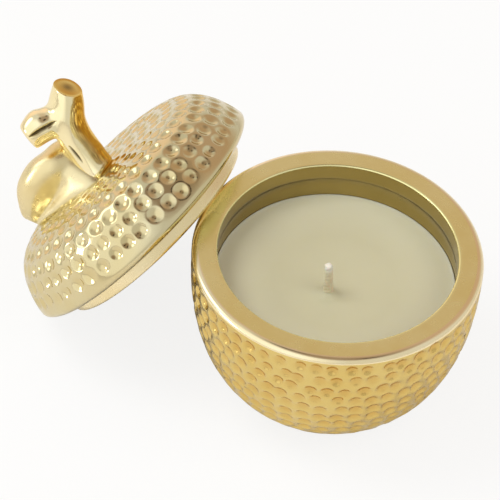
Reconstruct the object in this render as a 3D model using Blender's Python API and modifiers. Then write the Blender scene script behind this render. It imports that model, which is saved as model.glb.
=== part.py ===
"""Fruit-shaped ceramic candle jar: a bowl of wax with one wick, and its domed lid leaning on the rim.

The origin is the centre of the pot's flat foot, +Z is up, and all sizes are in metres. The lid is drawn in its
own frame, with its axis along local Z and the widest circle of the cap at local z = 0, and one empty places it.
"""
import math

import bmesh
import bpy
from mathutils import Matrix, Vector

# Pot
POT_HEIGHT = 0.066
BODY_RADIUS = 0.051
BODY_DEPTH = 0.0685          # depth of the full superellipse below the rim; the foot cuts it off
BODY_POWER = 2.6
RIM_FLAT_RADIUS = 0.0486
RIM_OUTER_FILLET = 0.0024
RIM_INNER_FILLET = 0.0008
MOUTH_RADIUS = 0.042
MOUTH_LAND_DEPTH = 0.0066
CAVITY_RADIUS = 0.0430
CAVITY_DEPTH = 0.0625        # depth of the cavity's full superellipse
FLOOR_THICKNESS = 0.0070

# Candle
WAX_DEPTH_BELOW_RIM = 0.0153
WICK_OFFSET_X = -0.0020
WICK_OFFSET_Y = -0.0060
WICK_RADIUS = 0.0014
WICK_EXPOSED = 0.0142
TAB_RADIUS = 0.0100
TAB_THICKNESS = 0.0005
COLLAR_RADIUS = 0.0024
COLLAR_HEIGHT = 0.0060
COLLAR_FLARE = 0.0008
ADHESIVE_RADIUS = 0.0085
ADHESIVE_THICKNESS = 0.0008

# Lid cap
CAP_RADIUS = 0.0511
CAP_HEIGHT = 0.0213
CAP_RADIAL_POWER = 8.0       # a high power gives the cap its flat crown
CAP_AXIAL_POWER = 1.25       # a low power gives it sides that flare out to the rim
LIP_INSET = 0.0054
LIP_DEPTH = 0.0031
HOLLOW_RADIUS = 0.0450
HOLLOW_HEIGHT = 0.0158
FLANGE_RADIUS = 0.0362
FLANGE_THICKNESS = 0.0045

# Lid locating ring, a loose fit in the pot's mouth
RING_RADIUS = 0.0412
RING_BOTTOM = 0.0086
RING_WALL = 0.0047
RING_FILLET = 0.0014

# Twig and leaf
TWIG_RADIUS = 0.0063
STUB_RADIUS = 0.0055
LEAF_THICKNESS = 0.0062

# How the lid leans
LID_HEADING = math.radians(160.6)   # compass direction that the top of the lid faces
LID_TILT = math.radians(53.3)
LID_SPIN = math.radians(47.9)
LID_CENTRE_X = -0.0724
LID_CENTRE_Y = 0.0317

GAP = 0.0003                 # between neighbouring solids
MERGE = 0.00005
SEGMENTS = 48
SMALL_SEGMENTS = 24
CAGE_SWELL = 1.10            # a subdivided eight-sided ring ends up this much smaller than its cage

COLLECTION_NAME = "candle_jar"
CUTTER_COLLECTION_NAME = "cutters"


def clear_scene():
    for thing in list(bpy.data.objects):
        bpy.data.objects.remove(thing)


def make_collection(name):
    collection = bpy.data.collections.new(name)
    bpy.context.scene.collection.children.link(collection)
    return collection


def make_material(name, colour, metallic, roughness):
    material = bpy.data.materials.new(name)
    material.use_nodes = True
    shader = material.node_tree.nodes["Principled BSDF"]
    shader.inputs["Base Color"].default_value = (*colour, 1.0)
    shader.inputs["Metallic"].default_value = metallic
    shader.inputs["Roughness"].default_value = roughness
    return material


def add_object(name, mesh, collection, material=None):
    thing = bpy.data.objects.new(name, mesh)
    if material:
        mesh.materials.append(material)
    collection.objects.link(thing)
    return thing


def turned(name, profile, collection, material=None, closed=False, segments=SEGMENTS):
    """Turn a profile of (radius, height) points about Z; it runs down the outer side."""
    edges = [(i, i + 1) for i in range(len(profile) - 1)]
    if closed:
        edges.append((len(profile) - 1, 0))
    mesh = bpy.data.meshes.new(name)
    mesh.from_pydata([(radius, 0.0, height) for radius, height in profile], edges, [])
    thing = add_object(name, mesh, collection, material)
    screw = thing.modifiers.new("turn", "SCREW")
    screw.steps = segments
    screw.render_steps = segments
    screw.use_merge_vertices = True
    screw.merge_threshold = MERGE
    screw.use_smooth_shade = True
    return thing


def arc(centre, radius, start_deg, end_deg, steps):
    """Points on an arc, angles measured from +X (outward) towards +Z."""
    points = []
    for i in range(steps + 1):
        angle = math.radians(start_deg + (end_deg - start_deg) * i / steps)
        points.append((centre[0] + radius * math.cos(angle), centre[1] + radius * math.sin(angle)))
    return points


def bowl_radius(depth, full_radius, full_depth):
    """Radius of a superellipse bowl at a depth below the rim."""
    return full_radius * (1.0 - (depth / full_depth) ** BODY_POWER) ** (1.0 / BODY_POWER)


def bowl_curve(full_radius, full_depth, start_depth, end_depth, steps):
    """Points down a bowl wall, spaced evenly in the superellipse's own angle."""
    start = math.asin((start_depth / full_depth) ** (BODY_POWER / 2.0))
    end = math.asin((end_depth / full_depth) ** (BODY_POWER / 2.0))
    points = []
    for i in range(steps + 1):
        depth = full_depth * math.sin(start + (end - start) * i / steps) ** (2.0 / BODY_POWER)
        points.append((bowl_radius(depth, full_radius, full_depth), POT_HEIGHT - depth))
    return points


def cavity_curve(inset, start_depth):
    """The cavity's wall and floor edge, from start_depth down, moved inwards by inset."""
    floor_depth = POT_HEIGHT - FLOOR_THICKNESS - inset
    return bowl_curve(CAVITY_RADIUS - inset, CAVITY_DEPTH - inset, start_depth, floor_depth, 10)


def pot_profile():
    land_bottom = POT_HEIGHT - MOUTH_LAND_DEPTH
    cavity_start = MOUTH_LAND_DEPTH + (CAVITY_RADIUS - MOUTH_RADIUS)
    profile = [(0.0, FLOOR_THICKNESS)]
    profile += reversed(cavity_curve(0.0, cavity_start))
    profile.append((MOUTH_RADIUS, land_bottom))
    profile += arc((MOUTH_RADIUS + RIM_INNER_FILLET, POT_HEIGHT - RIM_INNER_FILLET), RIM_INNER_FILLET, 180, 90, 2)
    profile += arc((RIM_FLAT_RADIUS, POT_HEIGHT - RIM_OUTER_FILLET), RIM_OUTER_FILLET, 90, 10, 3)
    profile += bowl_curve(BODY_RADIUS, BODY_DEPTH, 2.5 * RIM_OUTER_FILLET, POT_HEIGHT, 13)
    profile.append((0.0, 0.0))
    return profile


def candle_heights():
    """Heights of the adhesive's top, the tab's underside and top, and the collar's top."""
    adhesive_top = FLOOR_THICKNESS + GAP + ADHESIVE_THICKNESS
    tab_bottom = adhesive_top + GAP
    tab_top = tab_bottom + TAB_THICKNESS
    return adhesive_top, tab_bottom, tab_top, tab_top + COLLAR_HEIGHT


def set_on_wick_axis(*pieces):
    for piece in pieces:
        piece.location = (WICK_OFFSET_X, WICK_OFFSET_Y, 0.0)


def wax_top():
    return POT_HEIGHT - WAX_DEPTH_BELOW_RIM


def wax_profile():
    profile = [(0.0, wax_top())]
    profile += cavity_curve(GAP, WAX_DEPTH_BELOW_RIM)
    profile.append((0.0, FLOOR_THICKNESS + GAP))
    return profile


def wick_cavity_profile():
    """The space that the tab, its collar and the wick take up in the wax."""
    _, _, tab_top, collar_top = candle_heights()
    hole = WICK_RADIUS + GAP
    return [
        (0.0, wax_top() + 0.01),
        (hole, wax_top() + 0.01),
        (hole, collar_top + GAP),
        (COLLAR_RADIUS + GAP, collar_top + GAP),
        (COLLAR_RADIUS + GAP, tab_top + COLLAR_FLARE + GAP),
        (COLLAR_RADIUS + COLLAR_FLARE + GAP, tab_top + GAP),
        (TAB_RADIUS + GAP, tab_top + GAP),
        (TAB_RADIUS + GAP, FLOOR_THICKNESS - GAP),
        (0.0, FLOOR_THICKNESS - GAP),
    ]


def sustainer_profile():
    """A flat tab and its collar, as one ring around the wick."""
    _, tab_bottom, tab_top, collar_top = candle_heights()
    hole = WICK_RADIUS + GAP
    return [
        (COLLAR_RADIUS, collar_top),
        (COLLAR_RADIUS, tab_top + COLLAR_FLARE),
        (COLLAR_RADIUS + COLLAR_FLARE, tab_top),
        (TAB_RADIUS, tab_top),
        (TAB_RADIUS, tab_bottom),
        (hole, tab_bottom),
        (hole, collar_top),
    ]


def dome_curve(full_radius, full_height, angles_deg):
    """Points of the superellipse dome; 90 degrees is the crown and 0 the widest circle."""
    points = []
    for angle_deg in angles_deg:
        angle = math.radians(angle_deg)
        radius = full_radius * max(math.cos(angle), 0.0) ** (2.0 / CAP_RADIAL_POWER)
        height = full_height * math.sin(angle) ** (2.0 / CAP_AXIAL_POWER)
        points.append((radius, height))
    return points


def cap_outer_curve():
    """The cap's outer surface from the crown to the widest circle."""
    crown = [(0.0, CAP_HEIGHT), (0.0120, CAP_HEIGHT), (0.0220, CAP_HEIGHT * 0.9995)]
    return crown + dome_curve(CAP_RADIUS, CAP_HEIGHT, (84, 76, 68, 60, 52, 44, 36, 28, 20, 12, 5, 0))


def cap_profile():
    profile = cap_outer_curve()
    for step in (1, 2, 3):
        angle = math.radians(30.0 * step)
        radius = CAP_RADIUS - LIP_INSET * (1.0 - math.cos(angle))
        profile.append((radius, -LIP_DEPTH * math.sin(angle)))
    flange_top = FLANGE_THICKNESS - LIP_DEPTH
    profile.append((FLANGE_RADIUS, -LIP_DEPTH))
    profile.append((FLANGE_RADIUS, flange_top))
    profile += dome_curve(HOLLOW_RADIUS, HOLLOW_HEIGHT, (20, 32, 44, 58, 74))
    profile.append((0.0, HOLLOW_HEIGHT))
    return profile


def crown_clearance_profile():
    """The cap's outer shape grown by the gap, which trims whatever stands on it."""
    grown = dome_curve(CAP_RADIUS + GAP, CAP_HEIGHT + GAP, (84, 76, 68, 60, 52, 44, 36, 28, 20, 12, 5, 0))
    return [(0.0, CAP_HEIGHT + GAP), (0.0220, CAP_HEIGHT + GAP)] + grown + [(0.0, 0.0)]


def ring_profile():
    top = -LIP_DEPTH - GAP
    bottom = -RING_BOTTOM
    inner = RING_RADIUS - RING_WALL
    profile = [(RING_RADIUS, top)]
    profile += arc((RING_RADIUS - RING_FILLET, bottom + RING_FILLET), RING_FILLET, 0, -90, 3)
    profile += [(inner + 0.0008, bottom), (inner, bottom + 0.0008), (inner, top)]
    return profile


def ring_of_vertices(cage, centre, side, up, radius, start_deg=0.0):
    """Eight cage vertices on a circle spanned by side and up."""
    vertices = []
    for i in range(8):
        angle = math.radians(start_deg + 45.0 * i)
        outward = side * math.cos(angle) + up * math.sin(angle)
        vertices.append(cage.verts.new(centre + outward * radius))
    return vertices


def join_rings(cage, first, second):
    for i in range(8):
        j = (i + 1) % 8
        cage.faces.new((first[i], first[j], second[j], second[i]))


def twig_stations(swell):
    """Centre, direction and cage radius of each ring up the twig, in the lid's frame."""
    foot = CAP_HEIGHT + GAP
    full = (TWIG_RADIUS + swell) * CAGE_SWELL
    return [
        (Vector((0.0000, 0.0000, foot - swell)), Vector((0.00, 0.00, 1.0)), full * 1.08),
        (Vector((-0.0002, 0.0000, foot + 0.0020)), Vector((0.00, 0.00, 1.0)), full * 1.02),
        (Vector((-0.0015, 0.0002, 0.0280)), Vector((-0.15, 0.00, 1.0)), full * 0.97),
        (Vector((-0.0022, 0.0006, 0.0340)), Vector((-0.18, 0.05, 1.0)), full * 0.98),
        (Vector((-0.0032, 0.0011, 0.0388)), Vector((-0.30, 0.10, 1.0)), full * 1.02),
        (Vector((-0.0048, 0.0019, 0.0432)), Vector((-0.50, 0.20, 1.0)), full * 1.08),
        (Vector((-0.0078, 0.0031, 0.0466)), Vector((-0.75, 0.35, 0.9)), full * 1.06),
        (Vector((-0.0111, 0.0046, 0.0498)), Vector((-0.90, 0.50, 0.7)), full * 0.98),
        (Vector((-0.0136, 0.0058, 0.0519)), Vector((-1.00, 0.60, 0.55)), full * 0.86),
    ]


def twig_cage(swell=0.0):
    """Coarse cage of the twig and its side stub; swell thickens it to make a cutter."""
    cage = bmesh.new()
    rings = []
    for centre, direction, radius in twig_stations(swell):
        forward = direction.normalized()
        side = Vector((0.0, 1.0, 0.0)).cross(forward).normalized()
        rings.append(ring_of_vertices(cage, centre, side, forward.cross(side), radius))
    stub_from, stub_to = 4, 6
    for level in range(len(rings) - 1):
        for i in range(8):
            j = (i + 1) % 8
            if stub_from <= level < stub_to and i in (7, 0):
                continue
            cage.faces.new((rings[level][i], rings[level][j], rings[level + 1][j], rings[level + 1][i]))
    cage.faces.new(list(reversed(rings[0])))
    cage.faces.new(rings[-1])
    low, middle, high = rings[stub_from], rings[stub_from + 1], rings[stub_to]
    previous = [low[7], low[0], low[1], middle[1], high[1], high[0], high[7], middle[7]]
    stub_rings = (
        (Vector((0.0012, 0.0018, 0.0482)), 1.24),
        (Vector((0.0052, 0.0020, 0.0488)), 1.10),
        (Vector((0.0084, 0.0021, 0.0487)), 0.98),
        (Vector((0.0098, 0.0021, 0.0484)), 0.82),
    )
    outward = Vector((0.98, 0.05, 0.12)).normalized()
    across = Vector((0.0, 1.0, 0.0))
    upward = outward.cross(across).normalized()
    for centre, share in stub_rings:
        radius = (STUB_RADIUS + swell) * CAGE_SWELL * share
        ring = ring_of_vertices(cage, centre + outward * swell, across, upward, radius, start_deg=225.0)
        join_rings(cage, previous, ring)
        previous = ring
    cage.faces.new(previous)
    return cage


def leaf_rows():
    """Front face of the leaf: rows run from the twig to the tip, columns from the near margin to the far one."""
    return [
        [(0.0006, 0.0090, 0.0200), (0.0012, 0.0056, 0.0240), (0.0022, 0.0010, 0.0320),
         (0.0012, 0.0004, 0.0358), (0.0006, -0.0026, 0.0384), (0.0004, -0.0066, 0.0400)],
        [(0.0076, 0.0080, 0.0203), (0.0080, 0.0056, 0.0240), (0.0090, 0.0016, 0.0300),
         (0.0098, 0.0020, 0.0350), (0.0104, -0.0002, 0.0394), (0.0110, -0.0062, 0.0417)],
        [(0.0130, 0.0040, 0.0209), (0.0130, 0.0022, 0.0242), (0.0128, -0.0008, 0.0276),
         (0.0154, 0.0008, 0.0348), (0.0168, -0.0014, 0.0401), (0.0175, -0.0082, 0.0421)],
        [(0.0194, -0.0010, 0.0214), (0.0190, -0.0022, 0.0237), (0.0186, -0.0040, 0.0256),
         (0.0218, -0.0014, 0.0324), (0.0234, -0.0038, 0.0375), (0.0246, -0.0102, 0.0391)],
        [(0.0250, -0.0060, 0.0216), (0.0248, -0.0068, 0.0231), (0.0246, -0.0080, 0.0240),
         (0.0268, -0.0052, 0.0292), (0.0284, -0.0070, 0.0328), (0.0297, -0.0120, 0.0336)],
        [(0.0304, -0.0110, 0.0214), (0.0304, -0.0114, 0.0221), (0.0302, -0.0120, 0.0229),
         (0.0310, -0.0100, 0.0254), (0.0318, -0.0110, 0.0272), (0.0324, -0.0130, 0.0280)],
    ]


def leaf_cage():
    """Closed cage of the leaf: its front rows and the same rows moved back by the thickness."""
    cage = bmesh.new()
    back = Vector((0.00, -0.85, -0.50)).normalized() * LEAF_THICKNESS
    front = [[cage.verts.new(Vector(point)) for point in row] for row in leaf_rows()]
    rear = [[cage.verts.new(Vector(point) + back) for point in row] for row in leaf_rows()]
    last_row = len(front) - 1
    last_column = len(front[0]) - 1
    for i in range(last_row):
        for j in range(last_column):
            cage.faces.new((front[i][j], front[i + 1][j], front[i + 1][j + 1], front[i][j + 1]))
            cage.faces.new((rear[i][j], rear[i][j + 1], rear[i + 1][j + 1], rear[i + 1][j]))
        cage.faces.new((front[i][0], rear[i][0], rear[i + 1][0], front[i + 1][0]))
        cage.faces.new((front[i][last_column], front[i + 1][last_column],
                        rear[i + 1][last_column], rear[i][last_column]))
    for j in range(last_column):
        cage.faces.new((front[0][j], front[0][j + 1], rear[0][j + 1], rear[0][j]))
        cage.faces.new((front[last_row][j], rear[last_row][j], rear[last_row][j + 1], front[last_row][j + 1]))
    return cage


def soft_object(name, cage, collection, material=None, levels=2):
    bmesh.ops.recalc_face_normals(cage, faces=cage.faces)
    mesh = bpy.data.meshes.new(name)
    cage.to_mesh(mesh)
    cage.free()
    mesh.shade_smooth()
    thing = add_object(name, mesh, collection, material)
    subdivision = thing.modifiers.new("round", "SUBSURF")
    subdivision.levels = levels
    subdivision.render_levels = levels
    return thing


def cut(thing, cutter, name):
    cutter.hide_render = True
    cutter.display_type = "WIRE"
    boolean = thing.modifiers.new(name, "BOOLEAN")
    boolean.operation = "DIFFERENCE"
    boolean.solver = "EXACT"
    boolean.object = cutter


def make_candle(collection, cutters, materials):
    adhesive_top, _, _, _ = candle_heights()
    turned("pot", pot_profile(), collection, materials["satin_gold"])
    wax = turned("wax_fill", wax_profile(), collection, materials["wax"])
    wick_cavity = turned("wick_cavity", wick_cavity_profile(), cutters, segments=SMALL_SEGMENTS)
    cut(wax, wick_cavity, "wick hole")

    sustainer = turned("wick_sustainer", sustainer_profile(), collection, materials["tinplate"],
                       closed=True, segments=SMALL_SEGMENTS)

    adhesive_bottom = FLOOR_THICKNESS + GAP
    adhesive_profile = [
        (0.0, adhesive_top),
        (ADHESIVE_RADIUS - 0.0003, adhesive_top),
        (ADHESIVE_RADIUS, adhesive_bottom),
        (0.0, adhesive_bottom),
    ]
    adhesive = turned("wick_adhesive", adhesive_profile, collection, materials["glue"], segments=SMALL_SEGMENTS)

    wick_bottom = adhesive_top + 2.0 * GAP
    wick_top = wax_top() + WICK_EXPOSED
    wick_profile = [
        (0.0, wick_top),
        (WICK_RADIUS * 0.7, wick_top),
        (WICK_RADIUS, wick_top - 0.0005),
        (WICK_RADIUS, wick_bottom),
        (0.0, wick_bottom),
    ]
    wick = turned("wick", wick_profile, collection, materials["cotton"], segments=16)
    set_on_wick_axis(wick_cavity, sustainer, adhesive, wick)


def lid_centre_height():
    """The height of the lid's centre that leaves its lowest edge GAP above the surface it leans from."""
    across = math.sin(LID_TILT)
    down = math.cos(LID_TILT)
    return (CAP_RADIUS - LIP_INSET) * across + math.hypot(LIP_INSET * across, LIP_DEPTH * down) + GAP


def place_lid(collection):
    """The empty at the lid's centre, which is on the axis of the lifting slide."""
    lid = bpy.data.objects.new("lid_frame", None)
    collection.objects.link(lid)
    turn = Matrix.Rotation(LID_HEADING, 4, "Z")
    lean = Matrix.Rotation(LID_TILT, 4, "Y")
    spin = Matrix.Rotation(LID_SPIN, 4, "Z")
    centre = Matrix.Translation((LID_CENTRE_X, LID_CENTRE_Y, lid_centre_height()))
    lid.matrix_world = centre @ turn @ lean @ spin
    return lid


def make_lid(collection, cutters, materials):
    lid = place_lid(collection)
    cap = turned("lid_dome", cap_profile(), collection, materials["mirror_gold"])
    ring = turned("lid_locating_ring", ring_profile(), collection, materials["satin_gold"], closed=True)
    twig = soft_object("stem_twig", twig_cage(), collection, materials["mirror_gold"])
    leaf = soft_object("leaf", leaf_cage(), collection, materials["mirror_gold"])

    crown_cutter = turned("crown_clearance", crown_clearance_profile(), cutters)
    twig_cutter = soft_object("twig_clearance", twig_cage(swell=GAP), cutters)
    cut(leaf, crown_cutter, "rests on the cap")
    cut(leaf, twig_cutter, "clears the twig")
    for piece in (cap, ring, twig, leaf, crown_cutter, twig_cutter):
        piece.parent = lid


def main():
    clear_scene()
    collection = make_collection(COLLECTION_NAME)
    cutters = make_collection(CUTTER_COLLECTION_NAME)
    materials = {
        "satin_gold": make_material("satin_gold", (0.80, 0.58, 0.25), 1.0, 0.30),
        "mirror_gold": make_material("mirror_gold", (0.85, 0.68, 0.36), 1.0, 0.10),
        "wax": make_material("wax", (0.76, 0.71, 0.52), 0.0, 0.40),
        "cotton": make_material("cotton", (0.88, 0.85, 0.76), 0.0, 0.85),
        "tinplate": make_material("tinplate", (0.62, 0.62, 0.60), 1.0, 0.35),
        "glue": make_material("glue", (0.85, 0.83, 0.76), 0.0, 0.50),
    }
    make_candle(collection, cutters, materials)
    make_lid(collection, cutters, materials)


main()
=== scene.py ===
"""Gold candle jar shaped like a fruit: dimpled pot with wax and wick, and its dimpled lid leaning on the rim.

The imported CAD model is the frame. Dimpled skins replace the pot and the lid's cap, and finer organic meshes
replace the twig, the leaf, the wax and the wick. Every material is made of nodes.
"""
import math

import bmesh
import bpy
import numpy as np
from mathutils import Matrix, Vector, noise


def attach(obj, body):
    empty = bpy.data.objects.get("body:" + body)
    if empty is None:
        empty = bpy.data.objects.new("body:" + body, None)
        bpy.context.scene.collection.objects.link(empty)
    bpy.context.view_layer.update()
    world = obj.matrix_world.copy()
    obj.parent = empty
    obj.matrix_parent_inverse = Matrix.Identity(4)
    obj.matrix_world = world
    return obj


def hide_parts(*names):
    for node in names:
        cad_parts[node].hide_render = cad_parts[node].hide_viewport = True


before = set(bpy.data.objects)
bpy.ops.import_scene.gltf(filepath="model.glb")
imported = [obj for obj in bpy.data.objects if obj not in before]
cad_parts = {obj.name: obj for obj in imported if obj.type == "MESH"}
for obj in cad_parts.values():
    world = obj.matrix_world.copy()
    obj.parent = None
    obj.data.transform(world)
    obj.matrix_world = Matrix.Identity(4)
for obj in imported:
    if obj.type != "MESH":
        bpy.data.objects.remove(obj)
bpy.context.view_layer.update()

# The CAD model's driving sizes, in metres
POT_HEIGHT = 0.066
BODY_RADIUS = 0.051
BODY_DEPTH = 0.0685
BODY_POWER = 2.6
RIM_FLAT_RADIUS = 0.0486
RIM_OUTER_FILLET = 0.0024
RIM_INNER_FILLET = 0.0008
MOUTH_RADIUS = 0.042
MOUTH_LAND_DEPTH = 0.0066
CAVITY_RADIUS = 0.0430
CAVITY_DEPTH = 0.0625
FLOOR_THICKNESS = 0.0070
WAX_TOP = POT_HEIGHT - 0.0153
WICK_X = -0.0020
WICK_Y = -0.0060
WICK_RADIUS = 0.0014
WICK_EXPOSED = 0.0142
WICK_TIP = WAX_TOP + WICK_EXPOSED
CAP_RADIUS = 0.0511
CAP_HEIGHT = 0.0213
CAP_RADIAL_POWER = 8.0
CAP_AXIAL_POWER = 1.25
LIP_INSET = 0.0054
LIP_DEPTH = 0.0031
HOLLOW_RADIUS = 0.0450
HOLLOW_HEIGHT = 0.0158
FLANGE_RADIUS = 0.0362
FLANGE_THICKNESS = 0.0045
RING_RADIUS = 0.0412
RING_BOTTOM = 0.0086
RING_WALL = 0.0047
RING_FILLET = 0.0014
TWIG_RADIUS = 0.0063
STUB_RADIUS = 0.0055
LEAF_THICKNESS = 0.0062
LID_HEADING = math.radians(160.6)
LID_TILT = math.radians(53.3)
LID_SPIN = math.radians(47.9)
LID_CENTRE = (-0.0724, 0.0317)
GAP = 0.0003
MERGE = 0.00005
CAGE_SWELL = 1.10            # a subdivided eight-sided ring ends up this much smaller than its cage

# Resolution of the finer meshes
SEGMENTS = 528
SKIN_STEP = 0.00058
FILLET_STEPS = 9
CAGE_SIDES = 8
CAGE_LEVELS = 4

# Details that the CAD model leaves out
TWIG_RIDGES = (1.00, 0.96, 1.07, 0.95, 1.03, 0.97, 1.03, 0.97)
# start, end, width and depth of each groove, in the lid's frame
TWIG_GROOVES = (
    ((0.0084, 0.0072, 0.0494), (-0.0022, 0.0072, 0.0466), 0.00072, 0.0011),
    ((0.0006, 0.0055, 0.0366), (0.0021, 0.0055, 0.0288), 0.00050, 0.0006),
)
CUT_END_CREASE = 0.55
LEAF_FOLD_COLUMN = 2
LEAF_FOLD_CREASE = 0.30
MOUND_HEIGHT = 0.0026        # of the wax around the wick
MOUND_WIDTH = 0.0027
WICK_LEAN = -0.0008

# Dimples
POT_DIMPLES = {"spacing": 0.0062, "row": 0.0054, "radius": 0.0027, "depth": 0.00132, "soft": 0.26,
               "jitter": 0.09, "seed": 11}
LID_DIMPLES = {"spacing": 0.0065, "row": 0.0058, "radius": 0.0028, "depth": 0.00110, "soft": 0.05,
               "jitter": 0.05, "seed": 7}
POT_PLAIN_TOP = 0.0026       # bare stretch between the rim's outer edge and the first row
POT_PLAIN_FOOT = 0.0050
CROWN_PLAIN = 0.0098         # from the lid's axis to the first row
LID_PLAIN_EDGE = 0.0052

# Camera
CAMERA_ELEVATION = math.radians(46.465)
CAMERA_ROLL = math.radians(6.2755)
CAMERA_DISTANCE = 1.0        # from the centre of the rim
CAMERA_SENSOR = 36.0
CAMERA_LENS = 207.163
AIM_LEFT = 0.030672          # the camera looks this far past the rim's centre, across and up its own view
AIM_UP = 0.000337


# ---------------------------------------------------------------- profiles

def arc(centre, radius, start_deg, end_deg, steps):
    points = []
    for i in range(steps + 1):
        angle = math.radians(start_deg + (end_deg - start_deg) * i / steps)
        points.append((centre[0] + radius * math.cos(angle), centre[1] + radius * math.sin(angle)))
    return points


def bowl_curve(full_radius, full_depth, start_depth, end_depth, steps):
    """Points down a superellipse bowl, spaced evenly in its own angle."""
    start = math.asin((start_depth / full_depth) ** (BODY_POWER / 2.0))
    end = math.asin((end_depth / full_depth) ** (BODY_POWER / 2.0))
    points = []
    for i in range(steps + 1):
        depth = full_depth * math.sin(start + (end - start) * i / steps) ** (2.0 / BODY_POWER)
        radius = full_radius * (1.0 - (depth / full_depth) ** BODY_POWER) ** (1.0 / BODY_POWER)
        points.append((radius, POT_HEIGHT - depth))
    return points


def dome_curve(full_radius, full_height, start_deg, end_deg, steps):
    """Points of the lid's superellipse; 90 degrees is the crown and 0 the widest circle."""
    points = []
    for i in range(steps + 1):
        angle = math.radians(start_deg + (end_deg - start_deg) * i / steps)
        radius = full_radius * max(math.cos(angle), 0.0) ** (2.0 / CAP_RADIAL_POWER)
        height = full_height * max(math.sin(angle), 0.0) ** (2.0 / CAP_AXIAL_POWER)
        points.append((radius, height))
    return points


def resample(points, step):
    """The same outline with points evenly spaced along it."""
    line = np.array(points)
    lengths = np.hypot(*np.diff(line, axis=0).T)
    along = np.concatenate([[0.0], np.cumsum(lengths)])
    count = max(2, int(round(along[-1] / step)) + 1)
    at = np.linspace(0.0, along[-1], count)
    return np.stack([np.interp(at, along, line[:, 0]), np.interp(at, along, line[:, 1])], 1)


def chain(*pieces):
    """Joins outlines end to end without repeating a shared point."""
    joined = [np.array(pieces[0])]
    for piece in pieces[1:]:
        piece = np.array(piece)
        if np.hypot(*(piece[0] - joined[-1][-1])) < 1e-7:
            piece = piece[1:]
        joined.append(piece)
    return np.concatenate(joined)


# ---------------------------------------------------------------- dimpled skins

def outline_normals(outline):
    """Unit normals to the left of the outline's direction, in the (radius, height) plane."""
    tangent = np.gradient(outline, axis=0)
    tangent /= np.maximum(np.hypot(tangent[:, 0], tangent[:, 1]), 1e-12)[:, None]
    return np.stack([-tangent[:, 1], tangent[:, 0]], 1)


def soft_positive(value, softness):
    """The larger of value and 0, rounded off by softness."""
    return 0.5 * (value + np.sqrt(value * value + softness * softness))


def dimple_field(along, radius_at, rows, recipe, angles):
    """Depth of the dimples at each (outline point, angle), all in metres.

    along is the arc length of each outline point and rows the arc lengths of the rings of dimples.
    """
    rng = np.random.default_rng(recipe["seed"])
    depth = np.zeros((len(along), len(angles)))
    phase = 0.0
    for row in rows:
        ring_radius = float(np.interp(row, along, radius_at))
        count = max(6, int(round(2.0 * math.pi * ring_radius / recipe["spacing"])))
        step = 2.0 * math.pi / count
        phase = (phase + 0.5 * step) % step
        size = recipe["radius"] * rng.uniform(0.90, 1.06, count)
        strength = recipe["depth"] * rng.uniform(0.78, 1.12, count)
        shift_along = rng.normal(0.0, recipe["jitter"], count) * recipe["row"]
        shift_around = rng.normal(0.0, recipe["jitter"], count) * step
        near = np.abs(along - row) < 2.0 * recipe["radius"]
        index = np.round((angles - phase) / step).astype(int)
        local = angles - phase - index * step
        index %= count
        around = (local - shift_around[index])[None, :] * radius_at[near][:, None]
        down = (along[near] - row)[:, None] - shift_along[index][None, :]
        share = (around ** 2 + down ** 2) / size[index][None, :] ** 2
        cup = soft_positive(1.0 - share, recipe["soft"]) - soft_positive(-3.0, recipe["soft"])
        cup = np.where(share < 4.0, cup, 0.0)
        depth[near] = np.maximum(depth[near], cup * strength[index][None, :])
    return depth


def turned_skin(name, outline, angles, depth=None):
    """Closed mesh of the outline turned about Z, with its points pushed in by depth."""
    inward = -outline_normals(outline)
    count = len(angles)
    if depth is None:
        depth = np.zeros((len(outline), count))
    body = outline[1:-1]
    radius = body[:, 0][:, None] + inward[1:-1, 0][:, None] * depth[1:-1]
    height = body[:, 1][:, None] + inward[1:-1, 1][:, None] * depth[1:-1]
    points = np.stack([radius * np.cos(angles), radius * np.sin(angles), height], 2).reshape(-1, 3)
    ends = np.array([[0.0, 0.0, outline[0, 1]], [0.0, 0.0, outline[-1, 1]]])
    vertices = np.concatenate([points, ends])
    rows = len(body)
    row_index = np.arange(rows - 1)[:, None] * count
    here = np.arange(count)[None, :]
    after = (here + 1) % count
    quads = np.stack([row_index + here, row_index + count + here,
                      row_index + count + after, row_index + after], 2).reshape(-1, 4)
    first, last = rows * count, rows * count + 1
    top = [(first, int(i), int((i + 1) % count)) for i in range(count)]
    base = (rows - 1) * count
    bottom = [(last, base + (i + 1) % count, base + i) for i in range(count)]
    mesh = bpy.data.meshes.new(name)
    mesh.from_pydata(vertices.tolist(), [], quads.tolist() + top + bottom)
    mesh.shade_smooth()
    # The dimple depth, kept as the "cup" attribute, is where the gold materials paint shade into the dimples.
    amount = np.zeros(len(vertices), np.float32)
    amount[:rows * count] = (depth[1:-1] / max(depth.max(), 1e-9)).reshape(-1)
    mesh.attributes.new("cup", "FLOAT", "POINT").data.foreach_set("value", amount)
    return link(name, mesh)


def link(name, mesh):
    thing = bpy.data.objects.new(name, mesh)
    bpy.context.scene.collection.objects.link(thing)
    return thing


# ---------------------------------------------------------------- nodes

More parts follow.
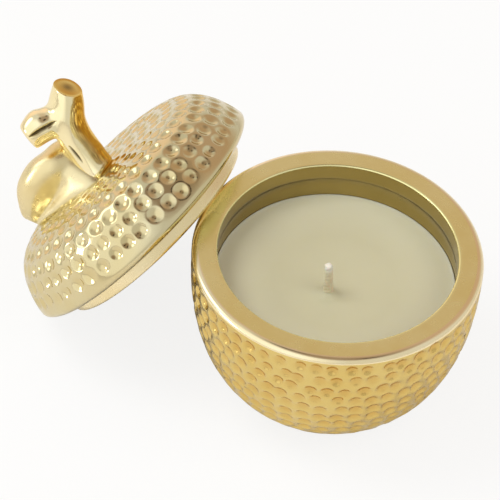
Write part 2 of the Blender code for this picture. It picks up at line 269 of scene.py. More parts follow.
class Nodes:
    """Short hand for building one node tree."""

    def __init__(self, tree):
        self.tree = tree
        self.tree.nodes.clear()

    def add(self, kind, inputs=(), **settings):
        node = self.tree.nodes.new(kind)
        for key, value in settings.items():
            setattr(node, key, value)
        for key, value in dict(inputs).items():
            if isinstance(value, bpy.types.NodeSocket):
                self.tree.links.new(value, node.inputs[key])
            else:
                node.inputs[key].default_value = value
        return node

    def noise(self, vector, scale, detail=2.0, roughness=0.5):
        node = self.add("ShaderNodeTexNoise", {"Vector": vector, "Scale": scale, "Detail": detail,
                                               "Roughness": roughness})
        return node.outputs["Fac"]

    def ranged(self, value, low, high, to_low, to_high):
        node = self.add("ShaderNodeMapRange", {"Value": value, "From Min": low, "From Max": high,
                                               "To Min": to_low, "To Max": to_high})
        return node.outputs["Result"]

    def mixed(self, share, first, second):
        """Mix of two colours; 6, 7 and 2 are the colour sockets of a node that also mixes other types."""
        node = self.add("ShaderNodeMix", data_type="RGBA")
        for socket, value in zip((node.inputs[0], node.inputs[6], node.inputs[7]), (share, first, second)):
            if isinstance(value, bpy.types.NodeSocket):
                self.tree.links.new(value, socket)
            else:
                socket.default_value = value
        return node.outputs[2]

    def maths(self, operation, first, second):
        node = self.add("ShaderNodeMath", {0: first, 1: second}, operation=operation)
        return node.outputs[0]


def rgb(red, green, blue):
    return (red, green, blue, 1.0)


def new_material(name):
    material = bpy.data.materials.new(name)
    material.use_nodes = True
    nodes = Nodes(material.node_tree)
    coordinates = nodes.add("ShaderNodeTexCoord").outputs["Object"]
    return material, nodes, coordinates


def finish_material(nodes, shader):
    nodes.add("ShaderNodeOutputMaterial", {"Surface": shader.outputs[0]})


def gold(name, colour, deep_colour, roughness, bump, grain=0.0, stain_and_shade=None, stain_and_shade_share=1.0):
    """Plated gold over glaze: uneven tint and gloss, orange peel, and a fine grain where it is satin.

    Where the piece's "cup" attribute says, a darker tint is painted in: painted shade in the dimples, partly
    plating pooled there, painted shade on the twig's right flank and stub, and a stained cut end. The
    "groove" attribute paints shade into grooves and gives the cut end a dark heart.
    """
    material, nodes, at = new_material(name)
    clouds = nodes.noise(at, 55.0, 3.0)
    base = nodes.mixed(nodes.ranged(clouds, 0.35, 0.70, 0.0, 0.65), colour, deep_colour)
    # Painted shade: the darker tint goes into dimple hollows and onto the twig's right flank and stub.
    if stain_and_shade:
        cup = nodes.add("ShaderNodeAttribute", attribute_name="cup").outputs["Fac"]
        groove = nodes.add("ShaderNodeAttribute", attribute_name="groove").outputs["Fac"]
        base = nodes.mixed(nodes.maths("MULTIPLY", cup, stain_and_shade_share), base, stain_and_shade)
        # Painted shade: a dark brown in the grooves; the same brown gives the twig's cut end a dark heart.
        groove_shade_and_heart_brown = rgb(0.10, 0.07, 0.03)
        base = nodes.mixed(groove, base, groove_shade_and_heart_brown)
    gloss = nodes.ranged(nodes.noise(at, 240.0, 4.0, 0.6), 0.3, 0.7, roughness * 0.78, roughness * 1.25)
    ripple = nodes.noise(at, 420.0, 2.0)
    speck = nodes.noise(at, 3200.0, 3.0, 0.7)
    height = nodes.maths("ADD", ripple, nodes.maths("MULTIPLY", speck, grain))
    normal = nodes.add("ShaderNodeBump", {"Height": height, "Strength": 1.0, "Distance": bump})
    shader = nodes.add("ShaderNodeBsdfPrincipled", {
        "Base Color": base, "Metallic": 1.0, "Roughness": gloss, "Normal": normal.outputs["Normal"]})
    finish_material(nodes, shader)
    return material


def wax_material():
    """Ivory container wax: faint mottling, a soft skin and light that goes a little way in."""
    material, nodes, at = new_material("wax_ivory")
    mottle = nodes.ranged(nodes.noise(at, 38.0, 4.0, 0.6), 0.3, 0.7, 0.0, 1.0)
    ivory = nodes.mixed(mottle, rgb(0.555, 0.535, 0.365), rgb(0.535, 0.515, 0.350))
    across = nodes.add("ShaderNodeVectorMath", {0: at, 1: (1.0, 1.0, 0.0)}, operation="MULTIPLY")
    radius = nodes.add("ShaderNodeVectorMath", {0: across.outputs["Vector"]}, operation="LENGTH")
    # Painted light: the wax is paler near the wall, lifting the shade the wall casts on it.
    wall_shade_lift = nodes.ranged(radius.outputs["Value"], 0.022, 0.042, 0.0, 1.0)
    base = nodes.mixed(wall_shade_lift, ivory, rgb(0.655, 0.640, 0.475))
    gloss = nodes.ranged(nodes.noise(at, 160.0, 3.0), 0.3, 0.7, 0.34, 0.46)
    normal = nodes.add("ShaderNodeBump", {"Height": nodes.noise(at, 260.0, 3.0), "Strength": 1.0,
                                          "Distance": 0.00003})
    shader = nodes.add("ShaderNodeBsdfPrincipled", {
        "Base Color": base, "Roughness": gloss, "IOR": 1.44, "Subsurface Weight": 0.35,
        "Subsurface Scale": 0.004, "Subsurface Radius": (1.0, 0.85, 0.5), "Normal": normal.outputs["Normal"]})
    finish_material(nodes, shader)
    return material


def wick_material():
    """Cotton soaked in wax, paler at the dry tip."""
    material, nodes, at = new_material("waxed_cotton")
    height = nodes.add("ShaderNodeSeparateXYZ", {"Vector": at}).outputs["Z"]
    dry = nodes.ranged(height, WICK_TIP - 0.0034, WICK_TIP - 0.0018, 0.0, 1.0)
    fibre = nodes.noise(at, 1800.0, 3.0, 0.6)
    waxed = nodes.mixed(fibre, rgb(0.62, 0.56, 0.37), rgb(0.70, 0.64, 0.46))
    cotton = nodes.mixed(fibre, rgb(0.66, 0.63, 0.54), rgb(0.76, 0.73, 0.65))
    base = nodes.mixed(dry, waxed, cotton)
    gloss = nodes.ranged(dry, 0.0, 1.0, 0.45, 0.85)
    normal = nodes.add("ShaderNodeBump", {"Height": fibre, "Strength": 1.0, "Distance": 0.00006})
    shader = nodes.add("ShaderNodeBsdfPrincipled", {
        "Base Color": base, "Roughness": gloss, "Subsurface Weight": 0.2, "Subsurface Scale": 0.001,
        "Normal": normal.outputs["Normal"]})
    finish_material(nodes, shader)
    return material


def tinplate_material():
    material, nodes, at = new_material("tinplate")
    stretched = nodes.add("ShaderNodeMapping", {"Vector": at, "Scale": (1.0, 14.0, 1.0)}).outputs[0]
    brushed = nodes.noise(stretched, 420.0, 4.0, 0.6)
    base = nodes.mixed(brushed, rgb(0.55, 0.55, 0.53), rgb(0.70, 0.70, 0.68))
    gloss = nodes.ranged(brushed, 0.3, 0.7, 0.26, 0.44)
    normal = nodes.add("ShaderNodeBump", {"Height": brushed, "Strength": 1.0, "Distance": 0.00002})
    shader = nodes.add("ShaderNodeBsdfPrincipled", {
        "Base Color": base, "Metallic": 1.0, "Roughness": gloss, "Normal": normal.outputs["Normal"]})
    finish_material(nodes, shader)
    return material


def glue_material():
    material, nodes, at = new_material("hot_glue")
    cloud = nodes.noise(at, 300.0, 3.0)
    base = nodes.mixed(cloud, rgb(0.78, 0.75, 0.66), rgb(0.88, 0.86, 0.80))
    gloss = nodes.ranged(cloud, 0.3, 0.7, 0.30, 0.50)
    normal = nodes.add("ShaderNodeBump", {"Height": cloud, "Strength": 1.0, "Distance": 0.00008})
    shader = nodes.add("ShaderNodeBsdfPrincipled", {
        "Base Color": base, "Roughness": gloss, "Subsurface Weight": 0.3, "Subsurface Scale": 0.002,
        "Normal": normal.outputs["Normal"]})
    finish_material(nodes, shader)
    return material


def floor_material():
    material, nodes, at = new_material("pale_floor")
    base = nodes.mixed(nodes.noise(at, 6.0, 3.0), rgb(0.78, 0.78, 0.775), rgb(0.80, 0.80, 0.795))
    paper = nodes.add("ShaderNodeBsdfPrincipled", {"Base Color": base, "Roughness": 0.7})
    glow = nodes.add("ShaderNodeEmission", {"Color": rgb(1.0, 1.0, 0.995), "Strength": 1.0})
    lift = nodes.maths("MULTIPLY", nodes.add("ShaderNodeLightPath").outputs["Is Camera Ray"], 0.84)
    shader = nodes.add("ShaderNodeMixShader", {0: lift, 1: paper.outputs[0], 2: glow.outputs[0]})
    finish_material(nodes, shader)
    return material


# ---------------------------------------------------------------- pieces

def lid_matrix():
    across = math.sin(LID_TILT)
    down = math.cos(LID_TILT)
    height = (CAP_RADIUS - LIP_INSET) * across + math.hypot(LIP_INSET * across, LIP_DEPTH * down) + GAP
    return (Matrix.Translation((*LID_CENTRE, height)) @ Matrix.Rotation(LID_HEADING, 4, "Z")
            @ Matrix.Rotation(LID_TILT, 4, "Y") @ Matrix.Rotation(LID_SPIN, 4, "Z"))


def settle(piece, body, node, material, matrix=None):
    """Bakes the piece's place into its mesh and hands it to the frame."""
    if matrix:
        piece.data.transform(matrix)
    piece.data.materials.clear()
    piece.data.materials.append(material)
    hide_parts(node)
    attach(piece, body)
    return piece


def full_circle():
    return np.linspace(0.0, 2.0 * math.pi, SEGMENTS, endpoint=False)


def rows_between(start, end, pitch):
    """Arc lengths of evenly pitched rings of dimples between two outline arc lengths."""
    count = max(1, int(round((end - start) / pitch)))
    return [start + (end - start) * i / count for i in range(count + 1)]


def arc_lengths(outline):
    return np.concatenate([[0.0], np.cumsum(np.hypot(*np.diff(outline, axis=0).T))])


def make_pot(material, lit_rim_material, shaded_inner_material, highlight_edge_material):
    angles = full_circle()
    cavity_start = MOUTH_LAND_DEPTH + (CAVITY_RADIUS - MOUTH_RADIUS)
    cavity = bowl_curve(CAVITY_RADIUS, CAVITY_DEPTH, cavity_start, POT_HEIGHT - FLOOR_THICKNESS, 24)
    inner_fillet = (MOUTH_RADIUS + RIM_INNER_FILLET, POT_HEIGHT - RIM_INNER_FILLET)
    land = [(MOUTH_RADIUS, POT_HEIGHT - MOUTH_LAND_DEPTH), (MOUTH_RADIUS, inner_fillet[1])]
    rim = chain(arc(inner_fillet, RIM_INNER_FILLET, 180, 90, 5),
                resample([(inner_fillet[0], POT_HEIGHT), (RIM_FLAT_RADIUS, POT_HEIGHT)], 0.0008),
                arc((RIM_FLAT_RADIUS, POT_HEIGHT - RIM_OUTER_FILLET), RIM_OUTER_FILLET, 90, 12, FILLET_STEPS))
    skin = resample(bowl_curve(BODY_RADIUS, BODY_DEPTH, 1.3 * RIM_OUTER_FILLET, POT_HEIGHT, 300), SKIN_STEP)
    outline = chain([(0.0, FLOOR_THICKNESS), (0.020, FLOOR_THICKNESS)], list(reversed(cavity)),
                    resample(land, 0.0012), rim, skin, [(skin[-1, 0] * 0.6, 0.0), (0.0, 0.0)])
    along = arc_lengths(outline)
    foot_row = len(outline) - 3
    skin_row = foot_row - len(skin) + 1
    plain_end = skin_row - 2
    rows = rows_between(along[skin_row] + POT_PLAIN_TOP, along[foot_row] - POT_PLAIN_FOOT, POT_DIMPLES["row"])
    depth = dimple_field(along, outline[:, 0], rows, POT_DIMPLES, angles)
    depth[:plain_end] = 0.0
    pot = settle(turned_skin("pot_skin", outline, angles, depth), "jar", "pot", material)
    rim_top = int(np.argmax(outline[:, 1] > inner_fillet[1] + MERGE)) - 1
    edge_top = plain_end - FILLET_STEPS
    # The inner and foot bands are painted shade, the rim band painted light and the edge band a painted
    # highlight.
    # bands of the outline, as first row, row after the last, and material
    bands = (
        (0, rim_top, shaded_inner_material),
        (rim_top, edge_top, lit_rim_material),
        (edge_top, plain_end, highlight_edge_material),
        (foot_row, foot_row + 1, shaded_inner_material),
    )
    count = len(angles)
    slots = np.zeros(len(pot.data.polygons), np.int32)
    for first, after, band_material in bands:
        if band_material.name not in pot.data.materials:
            pot.data.materials.append(band_material)
        slots[first * count:after * count] = pot.data.materials.find(band_material.name)
    pot.data.polygons.foreach_set("material_index", slots)
    return pot


def make_cap(material, matrix):
    angles = full_circle()
    crown = resample(dome_curve(CAP_RADIUS, CAP_HEIGHT, 90, 0, 4000), SKIN_STEP)
    lip = []
    for i in range(1, 11):
        angle = math.radians(9.0 * i)
        lip.append((CAP_RADIUS - LIP_INSET * (1.0 - math.cos(angle)), -LIP_DEPTH * math.sin(angle)))
    flange_top = FLANGE_THICKNESS - LIP_DEPTH
    hollow = dome_curve(HOLLOW_RADIUS, HOLLOW_HEIGHT, 18, 84, 14)
    underside = [(FLANGE_RADIUS, -LIP_DEPTH), (FLANGE_RADIUS, flange_top)] + hollow + [(0.0, HOLLOW_HEIGHT)]
    outline = chain(crown, lip, underside)
    along = arc_lengths(outline)
    widest = along[len(crown) - 1]
    rows = rows_between(CROWN_PLAIN, widest - LID_PLAIN_EDGE, LID_DIMPLES["row"])
    depth = dimple_field(along, outline[:, 0], rows, LID_DIMPLES, angles)
    depth[len(crown) + 2:] = 0.0
    cap = turned_skin("cap_skin", outline, angles, depth)
    return settle(cap, "lid", "lid_dome", material, matrix)


def make_ring(material, matrix):
    inner = RING_RADIUS - RING_WALL
    top = -LIP_DEPTH - GAP
    corner = (RING_RADIUS - RING_FILLET, -RING_BOTTOM + RING_FILLET)
    inner_corner = (inner + 0.0008, -RING_BOTTOM + 0.0008)
    outline = chain(resample([(inner + 0.002, top), (RING_RADIUS, top)], 0.0012),
                    resample([(RING_RADIUS, top), (RING_RADIUS, corner[1])], 0.0006),
                    arc(corner, RING_FILLET, 0, -90, 8),
                    resample([(corner[0], -RING_BOTTOM), (inner_corner[0], -RING_BOTTOM)], 0.0008),
                    arc(inner_corner, 0.0008, -90, -180, 5),
                    resample([(inner, inner_corner[1]), (inner, top)], 0.0012),
                    [(inner + 0.002, top)])
    mesh = bpy.data.meshes.new("ring_skin")
    loop = outline[:-1]
    count = len(loop)
    angles = full_circle()[::3]
    points = np.stack([loop[:, 0][:, None] * np.cos(angles), loop[:, 0][:, None] * np.sin(angles),
                       np.repeat(loop[:, 1][:, None], len(angles), 1)], 2).reshape(-1, 3)
    here = np.arange(len(angles))[None, :]
    after = (here + 1) % len(angles)
    row = np.arange(count)[:, None] * len(angles)
    below = (np.arange(count)[:, None] + 1) % count * len(angles)
    quads = np.stack([row + here, below + here, below + after, row + after], 2).reshape(-1, 4)
    mesh.from_pydata(points.tolist(), [], quads.tolist())
    mesh.shade_smooth()
    return settle(link("ring_skin", mesh), "lid", "lid_locating_ring", material, matrix)


def ring_of_vertices(cage, centre, side, up, radius, start_deg=0.0, ridges=(1.0,) * CAGE_SIDES):
    vertices = []
    for i in range(CAGE_SIDES):
        angle = math.radians(start_deg + 360.0 * i / CAGE_SIDES)
        outward = side * math.cos(angle) + up * math.sin(angle)
        vertices.append(cage.verts.new(centre + outward * (radius * ridges[i])))
    return vertices


def join_rings(cage, first, second):
    for i in range(CAGE_SIDES):
        j = (i + 1) % CAGE_SIDES
        cage.faces.new((first[i], first[j], second[j], second[i]))


def twig_stations():
    """Centre, direction and cage radius of each ring up the twig, in the lid's frame."""
    foot = CAP_HEIGHT + GAP
    full = TWIG_RADIUS * CAGE_SWELL
    return [
        (Vector((0.0000, 0.0000, foot - 0.0015)), Vector((0.00, 0.00, 1.0)), full * 1.14),
        (Vector((-0.0002, 0.0000, foot + 0.0020)), Vector((0.00, 0.00, 1.0)), full * 1.02),
        (Vector((-0.0015, 0.0002, 0.0280)), Vector((-0.15, 0.00, 1.0)), full * 0.97),
        (Vector((-0.0022, 0.0006, 0.0340)), Vector((-0.18, 0.05, 1.0)), full * 0.98),
        (Vector((-0.0032, 0.0011, 0.0388)), Vector((-0.30, 0.10, 1.0)), full * 1.02),
        (Vector((-0.0048, 0.0019, 0.0432)), Vector((-0.50, 0.20, 1.0)), full * 1.08),
        (Vector((-0.0078, 0.0031, 0.0466)), Vector((-0.75, 0.35, 0.9)), full * 1.06),
        (Vector((-0.0111, 0.0046, 0.0498)), Vector((-0.90, 0.50, 0.7)), full * 0.98),
        (Vector((-0.0136, 0.0058, 0.0519)), Vector((-1.00, 0.60, 0.55)), full * 0.86),
    ]


def twig_cage():
    cage = bmesh.new()
    rings = []
    for centre, direction, radius in twig_stations():
        forward = direction.normalized()
        side = Vector((0.0, 1.0, 0.0)).cross(forward).normalized()
        rings.append(ring_of_vertices(cage, centre, side, forward.cross(side), radius, ridges=TWIG_RIDGES))
    stub_from, stub_to = 4, 6
    for level in range(len(rings) - 1):
        for i in range(CAGE_SIDES):
            j = (i + 1) % CAGE_SIDES
            if stub_from <= level < stub_to and i in (7, 0):
                continue
            cage.faces.new((rings[level][i], rings[level][j], rings[level + 1][j], rings[level + 1][i]))
    cage.faces.new(list(reversed(rings[0])))
    centre, direction, radius = twig_stations()[-1]
    forward = direction.normalized()
    side = Vector((0.0, 1.0, 0.0)).cross(forward).normalized()
    inset = ring_of_vertices(cage, centre - forward * 0.0003, side, forward.cross(side), radius * 0.80)
    grain = ring_of_vertices(cage, centre + forward * 0.0001, side, forward.cross(side), radius * 0.45)
    join_rings(cage, rings[-1], inset)
    join_rings(cage, inset, grain)
    cage.faces.new(grain)
    sharpness = cage.edges.layers.float.new("crease_edge")
    for i in range(CAGE_SIDES):
        cage.edges.get((rings[-1][i], rings[-1][(i + 1) % CAGE_SIDES]))[sharpness] = CUT_END_CREASE
    low, middle, high = rings[stub_from], rings[stub_from + 1], rings[stub_to]
    previous = [low[7], low[0], low[1], middle[1], high[1], high[0], high[7], middle[7]]
    stub_rings = (
        (Vector((0.0012, 0.0018, 0.0482)), 1.24),
        (Vector((0.0052, 0.0020, 0.0488)), 1.10),
        (Vector((0.0084, 0.0021, 0.0487)), 0.98),
        (Vector((0.0098, 0.0021, 0.0484)), 0.82),
    )
    outward = Vector((0.98, 0.05, 0.12)).normalized()
    across = Vector((0.0, 1.0, 0.0))
    upward = outward.cross(across).normalized()
    for centre, share in stub_rings:
        radius = STUB_RADIUS * CAGE_SWELL * share
        ring = ring_of_vertices(cage, centre, across, upward, radius, start_deg=225.0)
        join_rings(cage, previous, ring)
        previous = ring
    cage.faces.new(previous)
    return cage


def leaf_rows():
    """Front face of the leaf: rows run from the twig to the tip, columns from one margin to the other."""
    return [
        [(0.0006, 0.0090, 0.0200), (0.0012, 0.0056, 0.0240), (0.0022, 0.0010, 0.0320),
         (0.0012, 0.0004, 0.0358), (0.0006, -0.0026, 0.0384), (0.0004, -0.0066, 0.0400)],
        [(0.0076, 0.0080, 0.0203), (0.0080, 0.0056, 0.0240), (0.0090, 0.0016, 0.0300),
         (0.0098, 0.0020, 0.0350), (0.0104, -0.0002, 0.0392), (0.0110, -0.0062, 0.0412)],
        [(0.0130, 0.0040, 0.0209), (0.0130, 0.0022, 0.0242), (0.0128, -0.0008, 0.0276),
         (0.0154, 0.0008, 0.0348), (0.0168, -0.0014, 0.0398), (0.0175, -0.0082, 0.0416)],
        [(0.0194, -0.0010, 0.0214), (0.0190, -0.0022, 0.0237), (0.0186, -0.0040, 0.0256),
         (0.0218, -0.0014, 0.0324), (0.0234, -0.0038, 0.0374), (0.0246, -0.0102, 0.0389)],
        [(0.0250, -0.0060, 0.0216), (0.0248, -0.0068, 0.0231), (0.0246, -0.0080, 0.0240),
         (0.0268, -0.0052, 0.0292), (0.0284, -0.0070, 0.0328), (0.0297, -0.0120, 0.0336)],
        [(0.0304, -0.0110, 0.0214), (0.0304, -0.0114, 0.0221), (0.0302, -0.0120, 0.0229),
         (0.0310, -0.0100, 0.0254), (0.0318, -0.0110, 0.0272), (0.0324, -0.0130, 0.0280)],
    ]


def leaf_cage():
    cage = bmesh.new()
    back = Vector((0.00, -0.85, -0.50)).normalized() * LEAF_THICKNESS
    front = [[cage.verts.new(Vector(point)) for point in row] for row in leaf_rows()]
    rear = [[cage.verts.new(Vector(point) + back) for point in row] for row in leaf_rows()]
    last_row = len(front) - 1
    last_column = len(front[0]) - 1
    for i in range(last_row):
        for j in range(last_column):
            cage.faces.new((front[i][j], front[i + 1][j], front[i + 1][j + 1], front[i][j + 1]))
            cage.faces.new((rear[i][j], rear[i][j + 1], rear[i + 1][j + 1], rear[i + 1][j]))
        cage.faces.new((front[i][0], rear[i][0], rear[i + 1][0], front[i + 1][0]))
        cage.faces.new((front[i][last_column], front[i + 1][last_column],
                        rear[i + 1][last_column], rear[i][last_column]))
    for j in range(last_column):
        cage.faces.new((front[0][j], front[0][j + 1], rear[0][j + 1], rear[0][j]))
        cage.faces.new((front[last_row][j], rear[last_row][j], rear[last_row][j + 1], front[last_row][j + 1]))
    sharpness = cage.edges.layers.float.new("crease_edge")
    for i in range(last_row):
        fold = (front[i][LEAF_FOLD_COLUMN], front[i + 1][LEAF_FOLD_COLUMN])
        cage.edges.get(fold)[sharpness] = LEAF_FOLD_CREASE
    return cage


def soft_piece(name, cage):
    """The cage subdivided into a smooth mesh of its own."""
    bmesh.ops.recalc_face_normals(cage, faces=cage.faces)
    mesh = bpy.data.meshes.new(name)
    cage.to_mesh(mesh)
    cage.free()
    thing = link(name, mesh)
    thing.modifiers.new("round", "SUBSURF").levels = CAGE_LEVELS
    graph = bpy.context.evaluated_depsgraph_get()
    thing.data = bpy.data.meshes.new_from_object(thing.evaluated_get(graph))
    thing.modifiers.clear()
    thing.data.shade_smooth()
    thing.data.name = name
    return thing


def roughen(thing, amount, scale, stretch, seed):
    """Pushes vertices along their normals by noise that is stretched along the local axes."""
    mesh = thing.data
    offset = Vector((seed, seed * 0.37, -seed * 0.61))
    moves = []
    for vertex in mesh.vertices:
        at = Vector([vertex.co[k] * scale * stretch[k] for k in range(3)]) + offset
        moves.append(vertex.co + vertex.normal * (noise.noise(at) * amount))
    for vertex, place in zip(mesh.vertices, moves):
        vertex.co = place
    mesh.update()


def carve(thing, start, end, width, depth):
    """Cuts a groove, widest in the middle, along a line on the side facing local +Y, and paints shade into
    it.
    """
    run = end - start
    groove_shade_marks = thing.data.attributes["groove"].data
    moves = []
    for vertex, groove_shade_mark in zip(thing.data.vertices, groove_shade_marks):
        share = min(1.0, max(0.0, (vertex.co - start).dot(run) / run.length_squared))
        away = vertex.co - (start + run * share)
        across = away - vertex.normal * away.dot(vertex.normal)
        reach = width * (0.25 + 0.75 * math.sin(math.pi * share))
        nearness = math.exp(-(across.length / reach) ** 2) if vertex.normal.y > 0.1 else 0.0
        # Painted shade: the groove is marked to be darkened.
        groove_shade_mark.value = max(groove_shade_mark.value, min(1.0, 1.2 * nearness))
        moves.append(vertex.co - vertex.normal * depth * nearness)
    for vertex, place in zip(thing.data.vertices, moves):
        vertex.co = place
    thing.data.update()


def paint_twig_shade_and_stain(thing, matrix):
    """Marks painted shade on the twig's world-right flank and its stub, and a stain and dark heart on its cut
    end.
    """
    right = (matrix.inverted().to_3x3() @ Vector((0.90, 0.25, -0.10))).normalized()
    tip, out, radius = twig_stations()[-1]
    out = out.normalized()
    heart_radius = 0.38 * radius
    stub_root = 0.002
    shade_and_stain = []
    hearts = []
    for vertex in thing.data.vertices:
        # Painted shade: the flank facing the world's right, and the stub a little, take the darker tint.
        flank_shade = min(1.0, max(0.0, (vertex.normal.dot(right) - 0.30) / 0.22))
        stub_shade = min(0.2, max(0.0, (vertex.co.x - stub_root) * 50.0))
        from_tip = (vertex.co - tip).length
        on_end = vertex.normal.dot(out) > 0.80 and from_tip < radius
        shade_and_stain.append(0.85 if on_end else max(flank_shade, stub_shade))
        hearts.append(0.7 * math.exp(-(from_tip / heart_radius) ** 2) if on_end else 0.0)
    thing.data.attributes.new("cup", "FLOAT", "POINT").data.foreach_set("value", shade_and_stain)
    thing.data.attributes.new("groove", "FLOAT", "POINT").data.foreach_set("value", hearts)


def make_twig(material, matrix):
    twig = soft_piece("twig_skin", twig_cage())
    roughen(twig, 0.00016, 200.0, (1.0, 1.0, 0.22), 3.0)
    paint_twig_shade_and_stain(twig, matrix)
    for start, end, width, depth in TWIG_GROOVES:
        carve(twig, Vector(start), Vector(end), width, depth)
    return settle(twig, "lid", "stem_twig", material, matrix)


def make_leaf(material, matrix):
    leaf = soft_piece("leaf_skin", leaf_cage())
    roughen(leaf, 0.00030, 150.0, (1.0, 1.0, 1.0), 5.0)
    return settle(leaf, "lid", "leaf", material, matrix)


def make_wax(material):
    wall = CAVITY_RADIUS - GAP
    middle = np.linspace(0.0, wall - 0.004, 40)
    margin = np.linspace(wall - 0.0036, wall - 0.0002, 16)
    top = []
    for radius in np.concatenate([middle, margin]):
        climb = 0.00055 * math.exp(-(wall - radius) / 0.0009)
        top.append((radius, WAX_TOP - 0.0003 + climb))
    side = bowl_curve(CAVITY_RADIUS - GAP, CAVITY_DEPTH - GAP, 0.0158, POT_HEIGHT - FLOOR_THICKNESS - GAP, 20)
    outline = chain(top, side, [(0.010, FLOOR_THICKNESS + GAP), (0.0, FLOOR_THICKNESS + GAP)])
    wax = turned_skin("wax_skin", outline, full_circle()[::3])
    for vertex in wax.data.vertices:
        if vertex.co.z > WAX_TOP - 0.001:
            away = math.hypot(vertex.co.x - WICK_X, vertex.co.y - WICK_Y)
            vertex.co.z += MOUND_HEIGHT * math.exp(-(away / MOUND_WIDTH) ** 2)
            vertex.co.z += 0.00012 * noise.noise(Vector((vertex.co.x * 60.0, vertex.co.y * 60.0, 2.0)))
    return settle(wax, "jar", "wax_fill", material)


def make_wick(material):
    """Three cords twisted together, soaked in wax, with a blunt tip."""
    base = WAX_TOP - 0.030
    turns_per_metre = 210.0
    rows = 160
    around = 36
    vertices = []
    for i in range(rows + 1):
        share = i / rows
        height = base + (WICK_TIP - base) * share
        twist = 2.0 * math.pi * turns_per_metre * (height - base)
        taper = 1.0 - 0.35 * max(0.0, (share - 0.985) / 0.015) ** 2
        x = WICK_X + WICK_LEAN * max(0.0, (height - WAX_TOP) / WICK_EXPOSED) ** 2
        coat = 1.0 + 0.5 * math.exp(-max(0.0, height - WAX_TOP) / 0.004)
        for j in range(around):
            angle = 2.0 * math.pi * j / around
            lobe = 0.86 + 0.14 * abs(math.cos(1.5 * (angle - twist)))
            radius = WICK_RADIUS * lobe * taper * coat
            vertices.append((x + radius * math.cos(angle), WICK_Y + radius * math.sin(angle), height))
    faces = []
    for i in range(rows):
        for j in range(around):
            k = (j + 1) % around
            faces.append((i * around + j, i * around + k, (i + 1) * around + k, (i + 1) * around + j))
    faces.append(list(reversed(range(around))))
    faces.append(list(range(rows * around, (rows + 1) * around)))
    mesh = bpy.data.meshes.new("wick_cord")
    mesh.from_pydata(vertices, [], faces)
    mesh.shade_smooth()
    return settle(link("wick_cord", mesh), "jar", "wick", material)


# ---------------------------------------------------------------- studio

def direction(azimuth_deg, elevation_deg):
    """Unit vector towards a place in the studio; azimuth 0 is the camera's side."""
    azimuth, elevation = math.radians(azimuth_deg), math.radians(elevation_deg)
    return Vector((math.sin(azimuth) * math.cos(elevation), -math.cos(azimuth) * math.cos(elevation),
                   math.sin(elevation)))


def make_world():
    """A soft white studio with a few brighter boxes and darker places that the gold can mirror."""
    world = bpy.data.worlds.new("studio")
    bpy.context.scene.world = world
    world.use_nodes = True
    nodes = Nodes(world.node_tree)
    towards = nodes.add("ShaderNodeTexCoord").outputs["Generated"]
    light = rgb(0.72, 0.71, 0.69)
    # azimuth, elevation, inner and outer radius in degrees, brightness inside, warmth
    places = (
        (-45, 22, 28, 52, 1.12, 1.0),
        (150, 48, 18, 46, 0.57, 0.56),
        (-145, 8, 14, 36, 1.05, 0.66),
        (-98, 28, 7, 17, 2.3, 1.0),
        (-72, 9, 4, 9, 7.5, 1.0),
        (40, 82, 14, 32, 0.36, 0.60),
        (-110, 79, 3.5, 7.0, 0.03, 0.8),
        (62, 73, 3.5, 7.0, 0.03, 0.8),
    )
    for azimuth, elevation, inner, outer, brightness, warmth in places:
        dot = nodes.add("ShaderNodeVectorMath", {0: towards, 1: direction(azimuth, elevation)},
                        operation="DOT_PRODUCT").outputs["Value"]
        share = nodes.ranged(dot, math.cos(math.radians(outer)), math.cos(math.radians(inner)), 0.0, 1.0)
        glow = rgb(brightness, brightness * (0.4 + 0.6 * warmth), brightness * warmth)
        light = nodes.mixed(share, light, glow)
    background = nodes.add("ShaderNodeBackground", {"Color": light, "Strength": 1.0})
    plain = nodes.add("ShaderNodeBackground", {"Color": rgb(0.96, 0.96, 0.955), "Strength": 1.0})
    is_camera = nodes.add("ShaderNodeLightPath").outputs["Is Camera Ray"]
    shown = nodes.add("ShaderNodeMixShader", {0: is_camera, 1: background.outputs[0], 2: plain.outputs[0]})
    nodes.add("ShaderNodeOutputWorld", {"Surface": shown.outputs[0]})


def make_lights():
    specs = (
        ("key", direction(-85, 62), 0.9, 0.45, 3.0),
        ("fill", direction(60, 50), 0.9, 0.60, 2.0),
    )
    for name, towards, distance, size, power in specs:
        data = bpy.data.lights.new(name, "AREA")
        data.shape = "DISK"
        data.size = size
        data.energy = power
        lamp = bpy.data.objects.new(name, data)
        bpy.context.scene.collection.objects.link(lamp)
        lamp.visible_glossy = False
        lamp.location = Vector((-0.03, 0.01, 0.03)) + towards * distance
        lamp.rotation_mode = "QUATERNION"
        lamp.rotation_quaternion = towards.to_track_quat("Z", "Y")


def make_floor():
    mesh = bpy.data.meshes.new("floor")
    half = 4.0
    mesh.from_pydata([(-half, -half, 0.0), (half, -half, 0.0), (half, half, 0.0), (-half, half, 0.0)], [],
                     [(0, 1, 2, 3)])
    floor = link("floor", mesh)
    mesh.materials.append(floor_material())


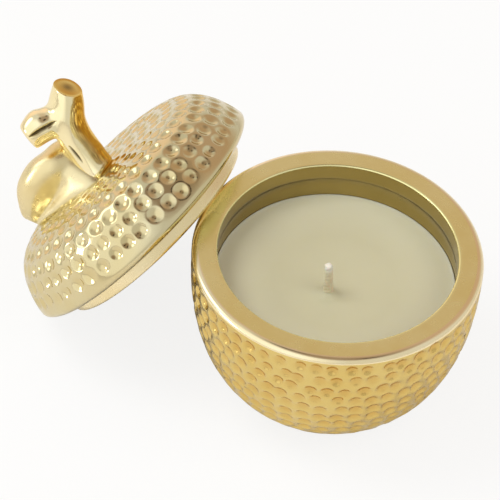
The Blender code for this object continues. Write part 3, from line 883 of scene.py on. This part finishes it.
def make_camera():
    towards = Vector((0.0, -math.cos(CAMERA_ELEVATION), math.sin(CAMERA_ELEVATION)))
    level = Vector((1.0, 0.0, 0.0))
    up = towards.cross(level)
    right = level * math.cos(CAMERA_ROLL) + up * math.sin(CAMERA_ROLL)
    upright = up * math.cos(CAMERA_ROLL) - level * math.sin(CAMERA_ROLL)
    back = (towards * CAMERA_DISTANCE + right * AIM_LEFT - upright * AIM_UP).normalized()
    across = (right - back * right.dot(back)).normalized()
    over = back.cross(across)
    place = Vector((0.0, 0.0, POT_HEIGHT)) + towards * CAMERA_DISTANCE
    data = bpy.data.cameras.new("camera")
    data.sensor_width = CAMERA_SENSOR
    data.lens = CAMERA_LENS
    camera = bpy.data.objects.new("camera", data)
    bpy.context.scene.collection.objects.link(camera)
    columns = [(across[i], over[i], back[i], place[i]) for i in range(3)] + [(0.0, 0.0, 0.0, 1.0)]
    camera.matrix_world = Matrix(columns)
    bpy.context.scene.camera = camera


def main():
    matrix = lid_matrix()
    # The lid's darker tint in its dimples is painted shade, partly plating pooled in the hollows.
    lid_gold = gold("lid_gold", rgb(0.73, 0.66, 0.42), rgb(0.69, 0.57, 0.28), 0.11, 0.000020,
                    stain_and_shade=rgb(0.68, 0.52, 0.20), stain_and_shade_share=0.30)
    leaf_gold = gold("leaf_gold", rgb(0.84, 0.74, 0.45), rgb(0.79, 0.63, 0.29), 0.30, 0.000010)
    # Painted light: the twig's gold is made lighter than the lid's so that it reads brighter.
    twig_gold_lit = gold("twig_gold_lit", rgb(0.99, 0.90, 0.60), rgb(0.95, 0.82, 0.44), 0.10, 0.000020,
                     stain_and_shade=rgb(0.88, 0.55, 0.09))
    # The pot's dark orange-brown in its dimples is painted shade, partly plating pooled in the hollows.
    pot_gold = gold("pot_gold", rgb(0.77, 0.60, 0.22), rgb(0.72, 0.52, 0.15), 0.17, 0.000020,
                    stain_and_shade=rgb(0.58, 0.29, 0.05), stain_and_shade_share=0.50)
    # Painted light: a paler satin gold on the locating ring, made lighter against the shade under the lid.
    ring_gold_lit = gold("ring_gold_lit", rgb(0.93, 0.81, 0.51), rgb(0.88, 0.72, 0.38), 0.28, 0.000010, grain=0.1)
    # Painted light: a paler, lighter copy of the jar's gold on the rim's top.
    rim_gold_lit = gold("rim_gold_lit", rgb(0.96, 0.92, 0.49), rgb(0.90, 0.81, 0.34), 0.24, 0.000010, grain=0.3)
    # Painted shade: a darker copy of the jar's gold inside the cavity and under the foot, partly a bronze
    # tint.
    inner_gold_shaded = gold("inner_gold_shaded", rgb(0.42, 0.32, 0.12), rgb(0.36, 0.27, 0.09), 0.22, 0.000015)
    # Painted highlight: a pale band of gold on the rim's rounded outer edge.
    edge_gold_highlight = gold("edge_gold_highlight", rgb(0.97, 0.86, 0.58), rgb(0.93, 0.78, 0.44), 0.15, 0.000012)
    make_pot(pot_gold, rim_gold_lit, inner_gold_shaded, edge_gold_highlight)
    make_wax(wax_material())
    make_wick(wick_material())
    make_cap(lid_gold, matrix)
    make_ring(ring_gold_lit, matrix)
    make_twig(twig_gold_lit, matrix)
    make_leaf(leaf_gold, matrix)
    for node, material in (("wick_sustainer", tinplate_material()), ("wick_adhesive", glue_material())):
        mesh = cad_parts[node].data
        mesh.materials.clear()
        mesh.materials.append(material)
    make_world()
    make_lights()
    make_floor()
    make_camera()
    bpy.context.scene.view_settings.view_transform = "Standard"


main()
